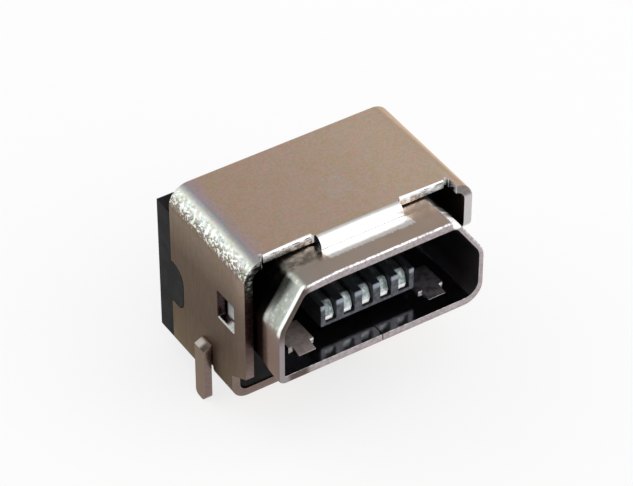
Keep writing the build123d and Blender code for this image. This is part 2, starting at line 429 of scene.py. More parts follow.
# %% Make the cover metal
def make_cover_metal():
    """Matt top, with a painted cold line and a painted bright grainy highlight on the left fold, and walls
    painted dark.
    """
    material, shader = finish("cover_sheet_metal", 1.0, Specular_Tint=BROWN_GRAZE)
    place = millimetres()
    x, y, z = split(place)
    wander = scaled(noise(place, 3.0, 3), 10.0, -5.0)
    angle = maths("ADD", fold_angle(x, z), wander)
    on_ramp = scaled(angle, 1 / RAMP_SPAN, -RAMP_START / RAMP_SPAN)
    # Painted reflections: the left fold's ramp paints its lavender and cold grey line and its bright band.
    left, right = fold_ramp(on_ramp, LEFT_FOLD), fold_ramp(on_ramp, RIGHT_FOLD)
    colour = mix(above(x, 0.0), left, right)
    # Painted dark reflection: the walls are painted dark brown, lighter towards their front end.
    on_wall = ease(angle, 70, 90)
    wall = ramp(maths("DIVIDE", z, FOLD_Z), WALL_COLOURS)
    front_wall = times(ease(y, -1.3, -2.1), 0.8)
    wall = tint(front_wall, wall, (1.45, 1.40, 1.45))
    colour = mix(on_wall, colour, wall)
    across = scaled(x, 1 / 7.0, 0.5)
    left_side_shade = ramp(across, [(0.0, (0.90, 0.88, 0.86)), (0.45, WHITE), (1.0, WHITE)])
    colour = tint(1.0, colour, left_side_shade)
    # Painted light: the top is painted brighter towards the right.
    painted_right_light = both(ease(x, -0.5, 3.0), reverse(on_wall))
    colour = tint(painted_right_light, colour, (1.13, 1.17, 1.15))
    mark = distance(place, (0.28, -0.56, TOP_OF_COVER))
    ring = both(ease(mark, 0.36, 0.44), ease(mark, 0.56, 0.48))
    ring = either(both(ring, ease(noise(place, 4.0, 3), 0.42, 0.56)), times(ease(mark, 0.52, 0.30), 0.35))
    colour = mix(times(ring, 0.42), colour, (0.74, 0.68, 0.74))

    flecks = noise(stretch(place, 1.0, 0.8, 1.0), 9.0, 3, 0.6)
    left_side = below(x, 0.0)
    # Painted highlight speckle on the left fold only: brown flecks where its bright band meets the wall, and
    # white and grey flecks over the band.
    mottle = both(ease(angle, 46, 62), reverse(ease(angle, 88, 104)), left_side)
    mottle = both(mottle, reverse(ease(flecks, 0.47, 0.53)))
    colour = mix(mottle, colour, DARK_BROWN)
    shine = both(ease(angle, 24, 40), reverse(ease(angle, 74, 92)), left_side)
    colour = mix(both(shine, ease(flecks, 0.52, 0.60)), colour, (0.92, 0.95, 0.94))
    colour = mix(both(shine, ease(flecks, 0.44, 0.38)), colour, (0.40, 0.42, 0.41))

    olive = ease(noise(place, 2.6, 4, 0.6), 0.42, 0.66)
    mauve = ease(noise(stretch(place, 1.2, 1.0, 0.8), 3.4, 4, 0.6), 0.44, 0.66)
    colour = tint(times(olive, 0.5), colour, (0.93, 0.98, 0.76))
    colour = tint(times(mauve, 0.5), colour, (1.02, 0.88, 0.92))
    streaks = noise(stretch(place, 2.0, 2.0, 0.25), 6.0, 2)
    lines = times(ease(streaks, 0.42, 0.62), times(on_wall, 0.12))
    colour = tint(lines, colour, (0.55, 0.50, 0.46))
    fine = noise(place, 6.5, 2, 0.7)
    colour = tint(times(ease(fine, 0.50, 0.62), 0.8), colour, (1.05, 0.97, 0.95))
    colour = tint(times(ease(fine, 0.50, 0.38), 0.8), colour, (0.95, 1.01, 0.98))
    grain = noise(place, 11.0, 2, 0.6)
    colour = tint(times(ease(grain, 0.40, 0.62), 0.22), colour, (0.62, 0.64, 0.62))

    # Painted highlight: the tab's front is painted near white.
    front = ease(times(y, -1.0), 2.08, 2.14)
    on_tab = both(front, below(size_of(x), 1.8))
    colour = mix(on_tab, colour, (0.9, 0.9, 0.89))
    # Painted highlight: the rolled front edge of the top is painted near white.
    _, ny, nz = facing()
    rolled = both(below(ny, -0.16), above(nz, 0.22), below(size_of(x), 3.2))
    colour = mix(rolled, colour, (0.92, 0.92, 0.91))
    # Painted dark reflection: the legs below the step are painted darker brown.
    leg = both(ease(z, 1.42, 1.30), ease(size_of(x), 3.96, 4.02))
    colour = mix(times(leg, 0.5), colour, (0.30, 0.235, 0.205))
    # Painted shade and light on each leg's upward step: dark on its front half, lighter on its back half.
    step = both(leg, ease(nz, 0.12, 0.30))
    colour = mix(step, colour, mix(ease(y, -0.10, 0.06), (0.07, 0.06, 0.05), (0.40, 0.36, 0.33)))

    roughness = maths("ADD", scaled(on_wall, 0.10, 0.26), times(streaks, 0.10))
    height = maths("ADD", times(grain, 0.5), times(streaks, 0.5))
    height = maths("ADD", height, times(flecks, times(shine, 1.2)))
    feed(shader, Base_Color=colour, Roughness=roughness, Normal=bumps(height, 0.005))
    return material


cover_metal = make_cover_metal()
print("made", cover_metal.name)

# %% [markdown]
# ## Cut edges
#
# Where the sheet was punched, its edge is a raw face, torn and sheared in turn. Along the top it is
# speckled. On the left wall it is painted almost black, a painted shade, and a face that looks up at the
# light is painted nearly white, a painted highlight.

# %% Make the cut-edge metal
def make_cut_metal():
    """Sheared sheet edge: speckled along the top, plain on the right, painted shade on the left, mid brown low
    down, and painted highlights and shade at the tab and the corners.
    """
    material, shader = finish("sheared_edge_metal", 1.0)
    place = millimetres()
    x, y, z = split(place)
    nx, ny, nz = facing()
    torn = noise(stretch(place, 0.7, 1.0, 1.3), 7.0, 3, 0.65)
    speckled = ramp(torn, [(0.36, (0.12, 0.11, 0.11)), (0.5, (0.42, 0.41, 0.41)), (0.62, (0.85, 0.85, 0.84))])
    plain = mix(torn, (0.50, 0.48, 0.47), (0.62, 0.60, 0.60))
    # Painted shade: cut faces on the left are painted almost black; low down, both sides are painted a mid
    # brown, a painted dark reflection.
    shaded_left = mix(torn, (0.03, 0.018, 0.018), (0.11, 0.065, 0.060))
    light = mix(torn, (0.15, 0.10, 0.088), (0.26, 0.195, 0.175))
    high = ease(z, 5.35, 5.55)
    colour = mix(above(x, 0.0), shaded_left, plain)
    colour = mix(ease(z, 2.8, 1.3), colour, light)
    colour = mix(high, colour, speckled)
    lit_part = either(ease(y, -1.00, -1.22), ease(size_of(x), 3.86, 3.90))
    # Painted shade: the cut ends of the folds at the front are painted dark, darkest on the left.
    fold_end = both(ease(size_of(x), 3.25, 3.40), ease(z, 4.4, 5.2))
    dark_end = ramp(torn, [(0.40, (0.022, 0.020, 0.020)), (0.55, (0.10, 0.095, 0.09)),
                           (0.64, (0.55, 0.54, 0.53))])
    light_end = mix(torn, (0.10, 0.085, 0.08), (0.34, 0.30, 0.29))
    dark_end = mix(above(x, 0.0), dark_end, light_end)
    shaded_end_part = either(below(x, 0.0), ease(z, 5.3, 5.5))
    colour = mix(both(fold_end, shaded_end_part, ease(y, 1.0, 0.5)), colour, dark_end)
    # Painted highlight: cut faces that look up are painted nearly white and made less metallic.
    upward = both(ease(nz, 0.5, 0.8), reverse(high), ease(z, 2.2, 2.4), lit_part)
    colour = mix(upward, colour, (0.95, 0.96, 0.95))
    # Painted highlight: the rounded arris facing left is painted lighter.
    arris = both(ease(nx, -0.25, -0.45), ease(nx, -0.97, -0.90), reverse(high))
    colour = mix(times(arris, 0.9), colour, (0.36, 0.32, 0.24))
    # Painted shade: front-facing cut faces in the window are painted dark.
    in_window = both(ease(y, -2.0, -1.9), ease(ny, -0.5, -0.7), ease(z, 2.7, 2.8))
    colour = mix(both(in_window, reverse(high)), colour, (0.12, 0.075, 0.080))
    # Painted highlight: a thin strip of the top's cut edge right of the tab is painted white.
    strip = both(ease(x, 1.80, 1.84), ease(x, 1.99, 1.95), high)
    colour = mix(strip, colour, (0.97, 0.97, 0.97))
    # Painted shade: the tab's cut sides are painted near black.
    tab_side = both(below(y, -2.09), below(size_of(x), 1.75))
    tab_side = both(tab_side, high)
    colour = mix(tab_side, colour, mix(torn, (0.03, 0.035, 0.037), (0.085, 0.10, 0.10)))
    # Painted highlight: the small rounded inner corners beside the tab are painted white.
    inner_corner = ease(size_of(times(nx, ny)), 0.12, 0.26)
    inner_corner = both(inner_corner, high, reverse(tab_side), ease(y, -1.9, -2.0))
    colour = mix(inner_corner, colour, (0.97, 0.97, 0.97))
    matt = either(times(upward, 1.2), either(inner_corner, strip))
    roughness = scaled(torn, 0.2, 0.18)
    height = times(torn, scaled(high, 0.85, 0.15))
    feed(shader, Base_Color=colour, Roughness=roughness, Normal=bumps(height, 0.03),
         Metallic=reverse(times(matt, 0.8)))
    return material


cut_metal = make_cut_metal()
print("made", cut_metal.name)

# %% [markdown]
# ## Mouth metal
#
# The mouth is drawn from smoother strip, so it mirrors the cover's tab in its top, and a painted
# reflection of the tab is added there. Its slanted corners are painted pale and its upright sides as dark
# as the cover's walls, both painted reflections, with painted highlights and shade round the lip and neck.

# %% Make the mouth metal
RIGHT_CORNER = (2.64, -3.58, 5.64)      # the lip's upper right corner, which catches the light

# Colours by how far a face is turned from straight up, in degrees, on each side; the pale slants and
# brown sides are painted reflections, and the right slant's pale band is a painted highlight
LEFT_TURN = [(0, (0.55, 0.44, 0.37)), (6, (0.53, 0.44, 0.37)), (20, (0.42, 0.42, 0.37)),
             (50, (0.37, 0.39, 0.355)), (66, (0.355, 0.38, 0.345)), (84, (0.215, 0.155, 0.142)),
             (180, (0.16, 0.12, 0.11))]
RIGHT_TURN = [(0, (0.57, 0.44, 0.355)), (6, (0.57, 0.44, 0.355)), (10, (0.80, 0.79, 0.78)),
              (60, (0.80, 0.80, 0.78)), (84, (0.30, 0.25, 0.22)), (180, (0.16, 0.12, 0.10))]


def make_mouth_metal():
    """Smooth tube: taupe top and grey inside, with painted reflections and highlights: pale slants, brown sides,
    and a light line round the lip.
    """
    material, shader = finish("mouth_plating", 1.0, Specular_Tint=BROWN_GRAZE)
    place = millimetres()
    x, y, z = split(place)
    nx, ny, nz = facing()
    wander = scaled(noise(place, 2.5, 3), 10.0, -5.0)
    turn = times(maths("ARCTAN2", size_of(nx), nz), DEGREES)
    turn = maths("ADD", turn, wander)
    left, right = [ramp(maths("DIVIDE", turn, 180.0), [(angle / 180, shade) for angle, shade in shades])
                   for shades in (LEFT_TURN, RIGHT_TURN)]
    colour = mix(above(x, 0.0), left, right)
    cloud = noise(place, 1.3, 3)
    colour = tint(times(ease(cloud, 0.4, 0.7), 0.3), colour, (0.80, 0.82, 0.76))
    spots = noise(place, 5.5, 3, 0.6)
    slanted = both(ease(turn, 14, 34), ease(turn, 86, 74))
    # Painted light: the upper part of the left side is painted paler.
    pale_side = both(ease(turn, 76, 88), ease(z, 3.7, 4.7), below(x, 0.0))
    colour = mix(times(pale_side, 0.6), colour, (0.34, 0.35, 0.31))
    colour = tint(both(slanted, ease(spots, 0.56, 0.66)), colour, (1.5, 1.5, 1.46))
    colour = tint(both(slanted, ease(spots, 0.46, 0.34)), colour, (0.82, 0.84, 0.80))
    # Painted highlight: a pale band across the slants behind the flare.
    slant_bend_light = both(slanted, ease(y, -2.95, -2.78), ease(y, -2.60, -2.70))
    colour = mix(times(slant_bend_light, 0.6), colour, (0.80, 0.84, 0.80))

    width = size_of(x)
    outward = scaled(nx, x, times(nz, maths("SUBTRACT", z, 3.9)))
    inside = ease(outward, -0.3, -0.5)
    # Painted shade: the slanted neck behind the flare is painted near black.
    neck = both(ease(y, -2.74, -2.62), ease(turn, 18, 40), reverse(inside))
    colour = mix(neck, colour, (0.022, 0.018, 0.018))
    # Painted reflection of the tab: a near-white zone on the top within the tab's width, over the strip that
    # also mirrors it, with a streaky front edge.
    streaky = noise(stretch(place, 5.0, 0.7, 1.0), 3.0, 2)
    bright_end = scaled(streaky, 0.20, -3.10)
    from_tab = size_of(maths("SUBTRACT", x, 0.06))
    tab_reflection = both(above(nz, 0.6), reverse(inside),
                    ease(maths("SUBTRACT", y, bright_end), -0.04, 0.07), ease(from_tab, 1.56, 1.46))
    colour = mix(tab_reflection, colour, (0.93, 0.93, 0.93))
    shaded = both(ease(x, -3.2, -2.7), ease(x, -1.60, -1.75), ease(y, -2.85, -2.65),
                  ease(noise(place, 4.0, 3, 0.6), 0.30, 0.60), reverse(inside))
    colour = mix(times(shaded, 0.85), colour, (0.17, 0.16, 0.13))
    # The top's left part is painted darker and bluer.
    left_top_tint = both(ease(x, -1.2, -2.6), above(nz, 0.9), reverse(inside))
    colour = tint(times(left_top_tint, 0.7), colour, (0.78, 0.84, 0.90))
    # Painted highlight: a beaded line of white glints along the right slant's upper corner.
    beads = both(above(x, 2.0), ease(turn, 5, 12), ease(turn, 80, 62),
                 ease(noise(stretch(place, 0.2, 1.0, 0.2), 4.2, 2), 0.42, 0.52), reverse(inside),
                 ease(y, -2.55, -2.75))
    colour = mix(beads, colour, WHITE)
    # Painted highlight: a bright edge along the left slant, near the lip.
    slant_edge = both(slanted, below(x, 0.0), ease(y, -3.44, -3.54), reverse(inside))
    colour = mix(times(slant_edge, 0.9), colour, (0.97, 1.0, 0.95))
    upright = ease(size_of(nx), 0.3, 0.5)
    inner = mix(upright, (0.52, 0.50, 0.52), (0.13, 0.115, 0.125))
    colour = mix(inside, colour, inner)
    latch = both(inside, below(width, 3.0), below(z, 2.68), above(z, 2.495))
    smudge = ease(spots, 0.36, 0.60)
    lit_latch = mix(smudge, (0.22, 0.185, 0.17), (0.29, 0.245, 0.23))
    dim_latch = mix(smudge, (0.040, 0.037, 0.041), (0.095, 0.088, 0.10))
    right_side = above(x, 0.0)
    colour = mix(latch, colour, mix(right_side, lit_latch, dim_latch))
    glint = both(latch, below(ny, -0.6), below(x, 2.25), above(z, 2.52))
    colour = mix(glint, colour, WHITE)

    in_window = both(ease(width, 3.55, 3.57), ease(y, -0.66, -0.78), ease(z, 3.75, 3.50),
                     reverse(inside), ease(y, -1.9, -1.8))
    lit_patch = ramp(maths("SUBTRACT", z, 2.8), [(0.1, WHITE), (0.35, (0.6, 0.62, 0.62)),
                                                 (0.7, (0.30, 0.28, 0.28))])
    colour = mix(in_window, colour, lit_patch)

    at_lip = ease(times(y, -1.0), 3.50, 3.56)
    flat_lip = both(at_lip, ease(ny, -0.55, -0.72))
    mottle = noise(place, 8.0, 3, 0.65)
    # Painted dark reflection: the lip's flat face is painted dark brown on the left, like the walls, and lighter
    # low on the left side.
    lip = mix(ease(mottle, 0.38, 0.60), (0.34, 0.30, 0.31), (0.45, 0.40, 0.41))
    left_lip = mix(mottle, (0.075, 0.058, 0.050), (0.16, 0.125, 0.115))
    lip = mix(ease(x, -2.45, -2.75), lip, left_lip)
    low_side = both(ease(x, -3.2, -3.4), ease(z, 4.2, 3.6))
    lip = mix(times(low_side, 0.8), lip, (0.36, 0.33, 0.35))
    colour = mix(flat_lip, colour, lip)
    # Painted highlights: light lines along the lip's inner arris and its upper outer arris, brighter low down;
    # on the left the rim runs from dark brown to near white.
    edge = both(at_lip, ease(ny, -0.20, -0.35), ease(ny, -0.95, -0.85))
    bright_edge = both(edge, ease(nz, 0.18, 0.30))
    inner_edge = both(edge, ease(nx, 0.15, 0.30))
    colour = mix(inner_edge, colour, (0.52, 0.47, 0.48))
    edge_colour = mix(ease(mottle, 0.40, 0.58), (0.36, 0.33, 0.34), (0.78, 0.75, 0.76))
    edge_colour = tint(ease(z, 3.0, 2.8), edge_colour, (1.15, 1.15, 1.15))
    left_rim = both(ease(x, -2.6, -2.8), below(nx, -0.1))
    rim_colour = mix(ease(ny, -0.62, -0.42), left_lip, (0.97, 1.0, 0.95))
    edge_colour = mix(left_rim, edge_colour, rim_colour)
    colour = mix(bright_edge, colour, edge_colour)
    # Painted highlight: a white glint is painted round RIGHT_CORNER.
    from_corner = distance(place, RIGHT_CORNER)
    corner_glint = both(ease(from_corner, 0.26, 0.20), reverse(inside))
    colour = mix(corner_glint, colour, WHITE)
    grain = noise(place, 9.0, 3, 0.6)
    matt_inside = times(both(inside, upright), 0.3)
    roughness = scaled(grain, 0.10, scaled(latch, 0.4, 0.08))
    roughness = maths("ADD", roughness, matt_inside)
    beside_tab = both(ease(from_tab, 1.5, 1.7), reverse(inside))
    roughness = scaled(beside_tab, 0.16, roughness)
    white = either(in_window, either(beads, corner_glint))
    feed(shader, Base_Color=colour, Roughness=roughness, Normal=bumps(grain, 0.002),
         Metallic=reverse(either(times(latch, 0.7), times(white, 0.8))))
    return material


mouth_metal = make_mouth_metal()
print("made", mouth_metal.name)

# %% [markdown]
# ## Black plastics and contact strip
#
# The core and the block behind it are moulded black plastic, the block a little duller. The core's faces
# towards the front are painted greyer, with a painted highlight along its tips. The contacts are plated
# strip: noses painted grey with a faint green cast, a painted reflection of the dark around them, and
# white at their lower ends, a painted highlight.

# %% Make the plastics and the contact metal
def make_plastic(name, colour, rough, grain_size, gloss, face=None):
    """Black moulded plastic with a fine grain; if a colour is given, its faces towards the front are painted
    greyer, with a painted highlight along the tips.
    """
    material, shader = finish(name, 0.0, Specular_IOR_Level=gloss)
    place = millimetres()
    grain = noise(place, 14.0, 3, 0.6)
    cloud = noise(place, 1.6, 2)
    shade = mix(ease(cloud, 0.35, 0.7), colour, tuple(c * 1.8 for c in colour))
    if face:
        _, y, z = split(place)
        _, ny, _ = facing()
        # The faces towards the front are painted greyer, mottled by a noise.
        scuffs = noise(place, 6.0, 3, 0.6)
        front_tone = mix(ease(scuffs, 0.38, 0.60), tuple(c * 0.4 for c in face), face)
        # Painted highlight: the upper edge of the tongue's tip is painted over three times brighter.
        tips = both(ease(z, 3.52, 3.64), ease(y, -2.74, -2.79))
        front_tone = mix(tips, front_tone, tuple(c * 3.2 for c in face))
        shade = mix(either(ease(ny, -0.25, -0.7), tips), shade, front_tone)
    feed(shader, Base_Color=shade, Roughness=scaled(grain, 0.2, rough), Normal=bumps(grain, grain_size))
    return material


def make_contact_metal():
    """Plated strip, a little cloudy: a nose painted grey with a green cast, a painted reflection, and white at
    its lower end, a painted highlight.
    """
    material, shader = finish("contact_plating", 1.0)
    place = millimetres()
    _, y, z = split(place)
    cloud = noise(place, 5.0, 3)
    plated = ramp(cloud, [(0.35, (0.50, 0.54, 0.54)), (0.65, (0.76, 0.79, 0.79))])
    # Painted reflection: the nose is painted a darker green grey.
    nose = both(ease(y, -2.36, -2.44), ease(z, 2.8, 2.9))
    grey = ramp(cloud, [(0.40, (0.20, 0.27, 0.265)), (0.60, (0.68, 0.75, 0.76))])
    colour = mix(nose, plated, grey)
    # Painted highlight: the nose's lower end is painted white.
    end = both(nose, ease(z, 3.19, 3.14))
    colour = mix(end, colour, WHITE)
    feed(shader, Base_Color=colour, Roughness=scaled(cloud, 0.2, 0.22),
         Normal=bumps(noise(place, 12.0, 2), 0.003), Metallic=reverse(times(nose, 0.8)))
    return material


core_plastic = make_plastic("core_plastic", (0.010, 0.011, 0.013), 0.28, 0.003, gloss=0.25,
                            face=(0.095, 0.105, 0.125))
block_plastic = make_plastic("block_plastic", (0.011, 0.010, 0.011), 0.45, 0.006, gloss=0.05)
contact_metal = make_contact_metal()
print("made", core_plastic.name, block_plastic.name, contact_metal.name)


# %% [markdown]
# ## The cover
#
# A press makes the real cover from one flat blank: it punches the outline and folds it. The same
# order works here. The outside skin is a cube with two long edges bevelled round and its front, back
# and bottom taken away. Legs, flaps and the front tab are drawn out of that skin by extrude and spin.
# Solidify then gives it the sheet's thickness inwards, and the windows and notches are punched out.

# %% Sizes of the cover, in mm
HALF, TOP, SHEET = 3.945, TOP_OF_COVER, 0.28
FOLD_SIZE, FOLD_STEPS = 0.66, 14
FRONT, RIGHT_FRONT, REAR = -2.24, -2.48, 2.04      # the left and right walls' front edges, and the rear
LEG_HALF, SLOT_HALF, STEP_TOP = 0.26, 0.31, 1.38
FLAP_FRONT, FLAP_BEND = -1.43, 0.55
TAB_FACE, TAB_BEND, TAB_REACH = -2.42, 0.32, 0.02
TAB_LEFT, TAB_RIGHT = -1.39, 1.51


# %% Fold the skin
def fold_skin():
    """A cube without front, back and bottom, its long upper edges rounded."""
    skin = block("cover_sheet", (-HALF, FRONT, 0), (HALF, REAR, TOP))
    choose("EDGE", lambda e, p: min(v.z for v in p) > TOP - 0.01 and abs(p[0].x - p[1].x) < 0.01)
    bpy.ops.mesh.bevel(offset=FOLD_SIZE * MM, offset_type="OFFSET", segments=FOLD_STEPS, affect="EDGES")
    choose("FACE", lambda f, p: abs(f.normal.y) > 0.9 or f.normal.z < -0.9)
    bpy.ops.mesh.delete(type="FACE")
    choose("VERT", lambda v, p: p[0].y < FRONT + 0.01 and p[0].x > FOLD_X - 0.05)
    bpy.ops.transform.translate(value=mm(0, RIGHT_FRONT - FRONT, 0))
    return skin


def score(wanted, place, normal):
    """Cuts a line across the chosen faces with a bisect."""
    choose("FACE", wanted)
    bpy.ops.mesh.bisect(plane_co=place, plane_no=normal, threshold=1e-7)


def is_wall(f, p):
    """Whether a face stands upright, left or right."""
    return abs(f.normal.x) > 0.99


def is_top(f, p):
    """Whether a face looks straight up."""
    return f.normal.z > 0.99


cover = fold_skin()
for y in (FLAP_FRONT, -SLOT_HALF, -LEG_HALF, LEG_HALF, SLOT_HALF):
    score(is_wall, mm(0, y, 0), (0, 1, 0))
for z in (FLAP_BEND, STEP_TOP):
    score(is_wall, mm(0, 0, z), (0, 0, 1))
for x in (TAB_LEFT, TAB_RIGHT):
    score(is_top, mm(x, 0, 0), (1, 0, 0))
score(is_top, mm(0, TAB_FACE + TAB_BEND, 0), (0, 1, 0))
count(cover)

# %% Take away what the folds and slots leave open
CORNER_LOW, CORNER_HIGH = 1.05, 1.50      # the cut-back front corner, at its inner end and in front


def is_open(f, p):
    """Whether a face lies in a leg slot, where a flap folds away, or in the cut-back front corner."""
    y, z = middle(p).y, middle(p).z
    in_slot = between(y, -SLOT_HALF, SLOT_HALF) and z < STEP_TOP
    under_flap = between(y, FLAP_FRONT, -SLOT_HALF) and z < FLAP_BEND
    slope = (CORNER_HIGH - CORNER_LOW) / (FRONT - FLAP_FRONT)
    in_corner = y < FLAP_FRONT and z < CORNER_LOW + slope * (y - FLAP_FRONT)       # the line rises to the front
    return is_wall(f, p) and (in_slot or under_flap or in_corner)


score(lambda f, p: is_wall(f, p) and middle(p).y < FLAP_FRONT, mm(0, FLAP_FRONT, CORNER_LOW),
      (0, CORNER_HIGH - CORNER_LOW, FLAP_FRONT - FRONT))
choose("FACE", is_open)
bpy.ops.mesh.delete(type="FACE")
choose("FACE", lambda f, p: is_top(f, p) and middle(p).y < TAB_FACE + TAB_BEND)
bpy.ops.mesh.delete(type="FACE")
count(cover)


# %% Draw out the legs, flaps and tab
STEP_OUT, STEP_DOWN = 0.30, 0.14
LEG_DEPTH, LEG_ROUND = 0.80, 0.18      # below the board face, and at the tip's corners
FLAP_REACH = 2.75


def draw_leg(side):
    """From the slot's top edge, a step outwards and a straight leg with a rounded tip."""
    choose("EDGE", lambda e, p: all(between(v.y, -LEG_HALF, LEG_HALF) and abs(v.z - STEP_TOP) < 0.01
                                    and v.x * side > 0 for v in p))
    extrude(side * STEP_OUT, 0, -STEP_DOWN)
    extrude(0, 0, -(STEP_TOP - STEP_DOWN + LEG_DEPTH))
    choose("VERT", lambda v, p: abs(p[0].z + LEG_DEPTH) < 0.01 and p[0].x * side > 0)
    bpy.ops.mesh.bevel(offset=LEG_ROUND * MM, offset_type="OFFSET", segments=5, affect="VERTICES")


def draw_flap(side):
    """From the wall's edge, a quarter turn inwards and a straight run under the block."""
    choose("EDGE", lambda e, p: all(between(v.y, FLAP_FRONT, -SLOT_HALF) and abs(v.z - FLAP_BEND) < 0.01
                                    and v.x * side > 0 for v in p))
    centre = mm(side * (HALF - FLAP_BEND), 0, FLAP_BEND)
    bpy.ops.mesh.spin(steps=8, angle=-side * math.pi / 2, center=centre, axis=(0, 1, 0))
    extrude(-side * (FLAP_REACH - FLAP_BEND), 0, 0)


def draw_tab():
    """From the top's front edge, a quarter turn down onto the mouth."""
    choose("EDGE", lambda e, p: all(abs(v.y - TAB_FACE - TAB_BEND) < 0.01 and between(v.x, TAB_LEFT, TAB_RIGHT)
                                    and v.z > TOP - 0.01 for v in p))
    centre = mm(0, TAB_FACE + TAB_BEND, TOP - TAB_BEND)
    bpy.ops.mesh.spin(steps=8, angle=-math.pi / 2, center=centre, axis=(1, 0, 0))
    extrude(0, 0, -TAB_REACH)


for side in (-1, 1):
    draw_leg(side)
    draw_flap(side)
draw_tab()
choose_all()
bpy.ops.mesh.remove_doubles(threshold=1e-7)
bpy.ops.mesh.normals_make_consistent(inside=False)
count(cover)
let_go()
print("skin spans", [round(v / MM, 2) for v in cover.dimensions])

# %% Give the skin its thickness
cover.data.materials.append(cover_metal)
cover.data.materials.append(cut_metal)
apply(cover, "SOLIDIFY", thickness=SHEET * MM, offset=-1, use_even_offset=True, material_offset_rim=1)
count(cover)


# %% Punch the openings
def punch(name, axis, corners, rounds):
    """A rod through the whole cover, in the cut-edge metal, that leaves that metal on what it cuts."""
    start, end = {"x": (-5, 5), "z": (5.0, 7.0)}[axis]
    tool = rod(name, axis, start, end, corners, rounds)
    let_go()
    tool.data.materials.append(cut_metal)
    return tool


window = punch("window", "x", [(-1.62, 2.86), (-0.65, 2.86), (-0.65, 3.93), (-1.62, 3.93)], [0.08] * 4)
notch = punch("notch", "x", [(1.33, 1.50), (3.0, 1.50), (3.0, 3.12), (1.33, 3.12)], [0.40, 0, 0, 0.55])
SETBACK_Y = -2.07       # the top's front edge beside the tab
setbacks = [punch("setback", "z", [(s * 3.4, -3.0), (end, -3.0), (end, SETBACK_Y), (s * FOLD_X, SETBACK_Y)],
                  [0, 0, 0.12, 0]) for s, end in ((-1, TAB_LEFT), (1, TAB_RIGHT))]
reliefs = [punch("relief", "z", [(s * FOLD_X, -3.0), (s * 3.175, -3.0), (s * 3.175, -1.94), (s * FOLD_X, -1.94)],
                 [0, 0, 0.06, 0.06]) for s in (-1, 1)]

# Beside the mouth the right wall stands further back, under a rounded corner.
STEP_Y, STEP_Z, STEP_ROUND = -2.08, 3.97, 0.40
quarter = [math.radians(a) for a in range(75, -1, -15)]
around = [(STEP_Y - STEP_ROUND * math.cos(a), STEP_Z + STEP_ROUND * (1 - math.sin(a))) for a in quarter]
step_back = rod("step_back", "x", 3.0, 5.0, [(-3.0, 1.2), (STEP_Y, 1.2), (STEP_Y, STEP_Z), *around,
                                             (-3.0, STEP_Z + STEP_ROUND)], [])
let_go()
step_back.data.materials.append(cut_metal)
cut(cover, [window, notch, step_back, *setbacks, *reliefs])
count(cover)


# %% Break the arrises
def roll(piece, wanted, width, segments=4):
    """Rounds chosen edges more than the rest, as a punch pulls an edge over."""
    take(piece, "EDIT")
    found = choose("EDGE", wanted)
    bpy.ops.mesh.bevel(offset=width * MM, offset_type="OFFSET", segments=segments, affect="EDGES")
    let_go()
    print("rolled", found, "edges of", piece.name)


def soften(piece, width, segments=2, limit=40):
    """Small rounded arrises, and normals that keep the flat faces flat."""
    take(piece)
    bpy.ops.object.shade_smooth()
    apply(piece, "BEVEL", width=width * MM, segments=segments, limit_method="ANGLE",
          angle_limit=math.radians(limit), use_clamp_overlap=True)
    apply(piece, "WEIGHTED_NORMAL", mode="FACE_AREA", weight=80, keep_sharp=True)
    count(piece)


def is_front_edge(e, p):
    """Whether an edge lies along the top's front, left or right of the tab."""
    return all(v.z > TOP - 0.01 and abs(v.y - SETBACK_Y) < 0.01 for v in p) and abs(p[0].y - p[1].y) < 0.01


roll(cover, is_front_edge, 0.14)
soften(cover, 0.03)
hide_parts("cover")
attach(cover, "root")

# %% [markdown]
# ## The mouth
#
# The real mouth is strip rolled into a tube with one seam underneath, and its lip is flared. A tube
# whose outline changes is quickest as a row of matching outlines, bridged one to the next: four
# round the outside, three round the inside, and the last joined to the first.

# %% Sizes of the mouth, in mm
LIP, MOUTH_REAR = -3.66, 1.00
FLARE_END, NECK_END = -3.05, -2.46
SAG_START = -1.75      # left of the tab, the mouth's top droops a little
OUTSIDE_ROUNDS = [0.24, 0.68, 0.75, 0.40, 0, 0.34, 0.70]
INSIDE_ROUNDS = [0.05, 0.48, 0.55, 0.30, 0, 0.26, 0.52]


# %% Bridge seven outlines into a tube
def mouth_ring(y, half, floor, top, rounds, right=(0.83, 1.25), left=(0.83, 1.25), sag=0.0):
    """The mouth's outline at one depth, as a loop of edges; each slant's run and drop can differ."""
    corners = [(-half, floor), (half, floor), (half, top - right[1]), (half - right[0], top), (SAG_START, top),
               (-half + left[0], top - sag), (-half, top - left[1])]
    ring = outline("mouth_ring", "y", y, corners, rounds, steps=8, fill="NOTHING")
    let_go()
    return ring


def bridge_rings(name, rings):
    """Joins loops of edges into one object and bridges each to the next, the last to the first."""
    lengths = [len(ring.data.vertices) for ring in rings]
    let_go()
    for ring in rings:
        ring.select_set(True)
    bpy.context.view_layer.objects.active = rings[0]
    bpy.ops.object.join()
    tube = rings[0]
    tube.name = name
    starts = [sum(lengths[:i]) for i in range(len(lengths) + 1)]
    for i in range(len(rings)):
        wanted = set(range(starts[i], starts[i + 1]))
        after = (i + 1) % len(rings)
        wanted |= set(range(starts[after], starts[after + 1]))
        take(tube, "EDIT")
        choose("EDGE", lambda e, p: all(v.index in wanted for v in e.verts)
               and abs(e.verts[0].index - e.verts[1].index) < lengths[0] and len(e.link_faces) < 2
               and same_ring(e, starts))
        bpy.ops.mesh.bridge_edge_loops()
    choose_all()
    bpy.ops.mesh.normals_make_consistent(inside=False)
    return tube


def same_ring(edge, starts):
    """Whether an edge lies along one of the loops rather than across a bridge."""
    first, second = sorted(v.index for v in edge.verts)
    return not any(first < start <= second for start in starts)


